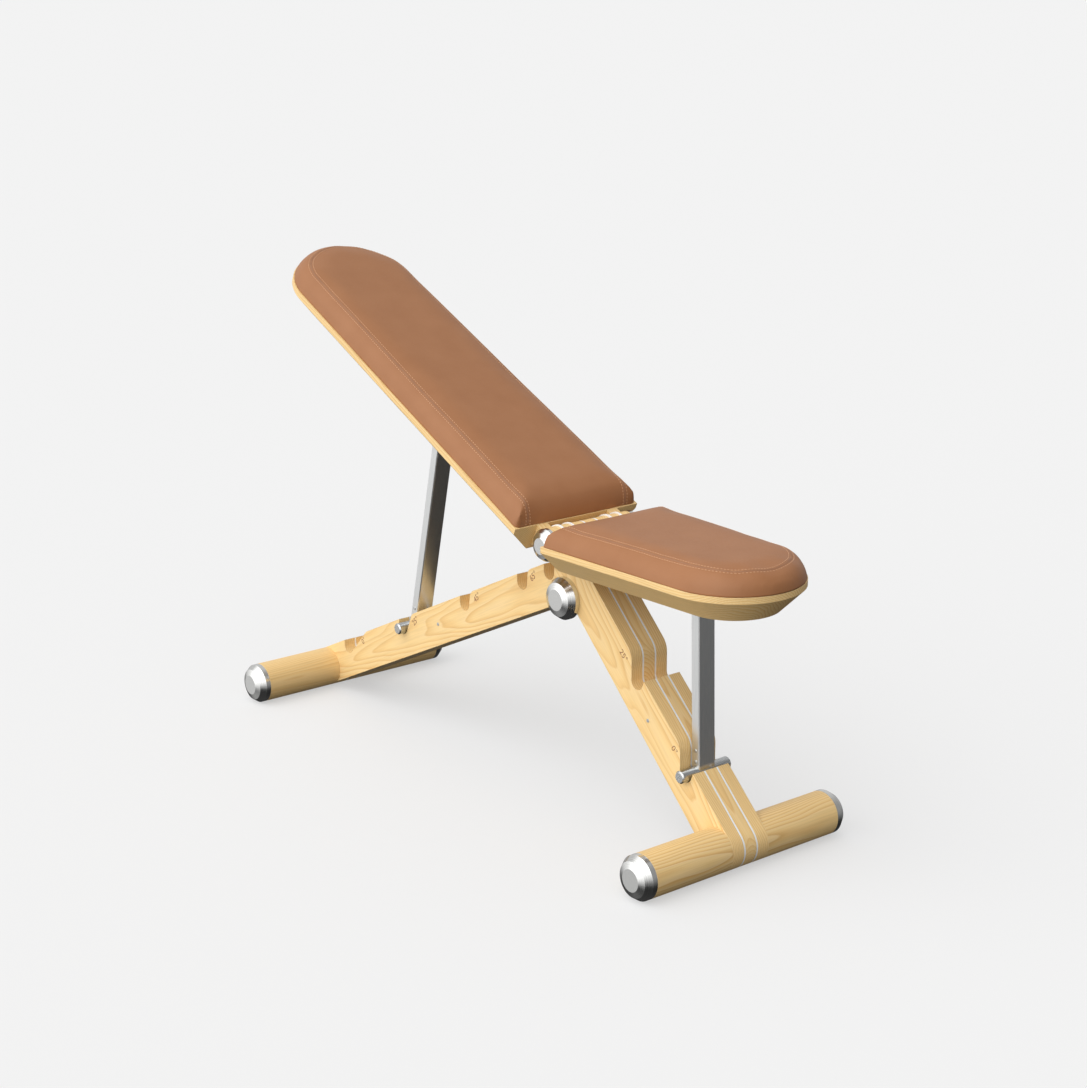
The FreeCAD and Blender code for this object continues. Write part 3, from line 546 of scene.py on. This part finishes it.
def evenly(points, pitch):
    """The same line with points a pitch apart, each with its normal and its forward direction."""
    result = []
    left = 0.0
    for (a, na), (b, nb) in zip(points, points[1:]):
        length = (b - a).length
        while left <= length and length > 0:
            t = left / length
            result.append((a.lerp(b, t), na.lerp(nb, t).normalized(), (b - a).normalized()))
            left += pitch
        left -= length
    return result


def settle(tree, line, offset):
    """A line moved sideways and laid back on the leather."""
    result = []
    for point, normal, ahead in line:
        across = ahead.cross(normal).normalized()
        start = point + across * offset + normal * SETTLE_FROM
        hit, found, _, _ = tree.ray_cast(start, -normal)
        if hit is not None:
            result.append((hit, found if found.dot(normal) > 0 else -found, ahead))
    return result


def rolled_edge(name, line):
    """One of the two turned edges of hide that meet in the seam: a thin roll half sunk in the leather."""
    path = bpy.data.curves.new(name, "CURVE")
    path.dimensions = "3D"
    path.bevel_depth = ROLL_R
    path.bevel_resolution = 2
    path.use_fill_caps = True
    spline = path.splines.new("POLY")
    spline.points.add(len(line) - 1)
    for point, (place, normal, _) in zip(spline.points, line):
        point.co = (place - normal * ROLL_SUNK).to_4d()
    roll = bpy.data.objects.new(name, path)
    bpy.context.scene.collection.objects.link(roll)
    only(roll)
    bpy.ops.object.convert(target="MESH")
    roll = bpy.context.object
    bpy.ops.object.shade_smooth()
    return roll


def one_stitch():
    """A stitch of thread along X, arched, thinner where it dips into the leather at both ends."""
    bpy.ops.object.select_all(action="DESELECT")
    bpy.ops.mesh.primitive_cylinder_add(vertices=6, radius=THREAD_R, depth=STITCH_LENGTH)
    stitch = bpy.context.object
    bpy.ops.object.mode_set(mode="EDIT")
    for share in (-0.3, -0.1, 0.1, 0.3):
        bpy.ops.mesh.select_all(action="SELECT")
        bpy.ops.mesh.bisect(plane_co=(0.0, 0.0, share * STITCH_LENGTH), plane_no=(0.0, 0.0, 1.0))
    bpy.ops.object.mode_set(mode="OBJECT")
    stitch.data.transform(Matrix.Rotation(math.pi / 2.0, 4, "Y"))
    for vertex in stitch.data.vertices:
        arch = math.cos(math.pi * vertex.co.x / STITCH_LENGTH)
        thin = 0.55 + 0.45 * arch
        vertex.co.y *= thin
        vertex.co.z = vertex.co.z * thin + STITCH_LIFT * arch - STITCH_SUNK
    return stitch


def stitching(name, stitch, line):
    """A row of copies of one stitch along a line on the leather."""
    thread = bmesh.new()
    for point, normal, ahead in line:
        across = normal.cross(ahead).normalized()
        place = Matrix((ahead, across, ahead.cross(across))).transposed().to_4x4()
        place.translation = point
        done = len(thread.verts)
        thread.from_mesh(stitch.data)
        thread.verts.ensure_lookup_table()
        bmesh.ops.transform(thread, matrix=place, verts=thread.verts[done:])
    mesh = bpy.data.meshes.new(name)
    thread.to_mesh(mesh)
    thread.free()
    row = bpy.data.objects.new(name, mesh)
    bpy.context.scene.collection.objects.link(row)
    only(row)
    bpy.ops.object.shade_smooth()
    return row


def upholster(board, leather, fold_leather, thread):
    """A pad with its seam and its two rows of stitching, put in place and riding on its board."""
    pad = cushion(board)
    pad.data.materials.clear()
    pad.data.materials.append(leather)
    shell = bmesh.new()
    shell.from_mesh(pad.data)
    tree = BVHTree.FromBMesh(shell)
    shell.free()
    points = surface_line(tree, seam_rays(board))
    pieces = [pad]
    stitch = one_stitch()
    for side, out in (("outer", 1.0), ("inner", -1.0)):
        edge = rolled_edge(board + "_seam_edge_" + side,
                           settle(tree, evenly(points, ROLL_STEP), out * ROLL_OFF))
        row = stitching(board + "_stitching_" + side, stitch,
                        settle(tree, evenly(points, STITCH_PITCH), out * STITCH_OFF))
        edge.data.materials.append(fold_leather)
        row.data.materials.append(thread)
        pieces += [edge, row]
    bpy.data.objects.remove(stitch)
    place = board_matrix(board)
    for piece in pieces:
        piece.data.transform(place)
        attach(piece, board)
    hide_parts(board + "_pad")


# ------------------------------------------------------------------ burnt degree marks
REAR_MARKS = (("0°", -596.9, -325.4), ("25°", -430.5, -244.8), ("45°", -248.1, -156.5),
              ("65°", -94.8, -82.6))           # text, and its middle from the hinge axle in mm
FRONT_MARKS = (("25°", 129.9, -157.1), ("0°", 249.8, -276.2))
MARK_SIZE = 14.5 * MM
MARK_DEPTH = 0.08 * MM
REAR_SLANT = math.radians(47.0)
FRONT_SLANT = math.radians(-44.6)


def burnt_mark():
    """Laser-burnt pine: brown char with a soft edge."""
    return speckled("laser_burnt_pine", "#7A4A33", "#94603F", 0.7, 0.0, 1.2 * MM)


def degree_marks(char):
    """The notches' angles, on both outer faces of the legs and readable from each side."""
    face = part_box("front_leg_ply_left")[1].y
    made = 0
    for marks, slope in ((REAR_MARKS, REAR_SLANT), (FRONT_MARKS, FRONT_SLANT)):
        for text, x, z in marks:
            for out in (-1, 1):
                bpy.ops.object.select_all(action="DESELECT")
                bpy.ops.object.text_add()
                mark = bpy.context.object
                mark.data.body = text
                mark.data.size = MARK_SIZE
                mark.data.align_x = "CENTER"
                mark.data.align_y = "CENTER"
                mark.data.extrude = MARK_DEPTH
                mark.data.resolution_u = 4
                bpy.ops.object.convert(target="MESH")
                made += 1
                mark.name = "degree_mark_%d" % made
                upright = Matrix.Rotation(math.pi / 2, 4, "X")
                turn = Matrix.Rotation(-slope, 4, "Y")
                flip = Matrix.Rotation(math.pi if out > 0 else 0.0, 4, "Z")
                spot = Matrix.Translation((HINGE.x + x * MM, out * face, HINGE.z + z * MM))
                lean = turn @ flip @ upright if out < 0 else flip @ Matrix.Rotation(slope, 4, "Y") @ upright
                mark.data.transform(spot @ lean)
                mark.data.materials.clear()
                mark.data.materials.append(char)
                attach(mark, "frame")


# ------------------------------------------------------------------ studio
CAMERA_FROM_HINGE = Vector((2.4419, -2.0314, 0.9027))
CAMERA_TURN = (math.radians(90.0 - 16.094), math.radians(0.10), math.radians(51.493))
LENS = 69.14


def studio():
    """A pale floor, soft light from all round and the camera."""
    scene = bpy.context.scene
    scene.view_settings.view_transform = "Standard"
    bpy.ops.object.select_all(action="DESELECT")
    bpy.ops.mesh.primitive_circle_add(vertices=96, radius=90.0, fill_type="NGON", location=(0, 0, 0))
    floor = bpy.context.object
    floor.name = "studio_floor"
    floor.visible_diffuse = False
    floor.visible_glossy = False
    paint, tree, place = fresh_material("matt_white_floor_paint")
    tooth = add(tree, "ShaderNodeTexNoise", {"Vector": place, "Scale": 300.0, "Detail": 2.0})
    bump = add(tree, "ShaderNodeBump", {"Height": tooth.outputs["Fac"], "Strength": 0.02,
                                        "Distance": 0.1 * MM})
    finish_material(tree, Base_Color=linear("#9A9A9A"), Roughness=1.0, Normal=bump.outputs["Normal"],
                    Specular_IOR_Level=0.0, Emission_Color=linear("#FFFFFF"), Emission_Strength=0.50)
    floor.data.materials.append(paint)

    world = bpy.data.worlds.new("studio")
    scene.world = world
    world.use_nodes = True
    tree = world.node_tree
    tree.nodes.clear()
    way = add(tree, "ShaderNodeTexCoord").outputs["Generated"]

    def lobe(direction, low, high, dim, bright):
        """Light that changes from dim to bright between two cosines from a direction."""
        facing = add(tree, "ShaderNodeVectorMath", {0: way, 1: Vector(direction).normalized()},
                     operation="DOT_PRODUCT")
        return add(tree, "ShaderNodeMapRange", {"Value": facing.outputs["Value"], "From Min": low,
                                                "From Max": high, "To Min": dim, "To Max": bright},
                   interpolation_type="SMOOTHSTEP").outputs["Result"]

    # dim from below and pale from above, a soft key high on the right, less from the front left, and a
    # weak reflector low behind the bench on the right
    sky = lobe((0, 0, 1), -0.6, 0.2, 0.05, 0.74)
    key = lobe((0.1, -1.0, 0.75), 0.3, 1.0, 0.0, 1.7)
    dark = lobe((0.85, 0.5, -0.1), -0.1, 0.85, 1.0, 0.5)
    card = lobe((-0.75, -0.6, -0.28), 0.75, 1.0, 0.0, 0.55)
    lit = add(tree, "ShaderNodeMath", {0: sky, 1: key}, operation="ADD")
    total = add(tree, "ShaderNodeMath", {0: lit.outputs["Value"], 1: card}, operation="ADD")
    shaded = add(tree, "ShaderNodeMath", {0: total.outputs["Value"], 1: dark}, operation="MULTIPLY")
    light = add(tree, "ShaderNodeBackground", {"Color": linear("#FFFFFF"),
                                               "Strength": shaded.outputs["Value"]})
    add(tree, "ShaderNodeOutputWorld", {"Surface": light.outputs["Background"]})

    data = bpy.data.cameras.new("camera")
    data.lens = LENS
    data.sensor_width = 36.0
    data.clip_end = 300.0
    camera = bpy.data.objects.new("camera", data)
    camera.location = HINGE + CAMERA_FROM_HINGE
    camera.rotation_euler = CAMERA_TURN
    scene.collection.objects.link(camera)
    scene.camera = camera


finish_wood()
finish_metal()
finish_the_rest()
LEATHER, FOLD, THREAD = tan_leather(), leather_edge(), waxed_thread()
for board_name in ("seat", "backrest"):
    upholster(board_name, LEATHER, FOLD, THREAD)
degree_marks(burnt_mark())
studio()
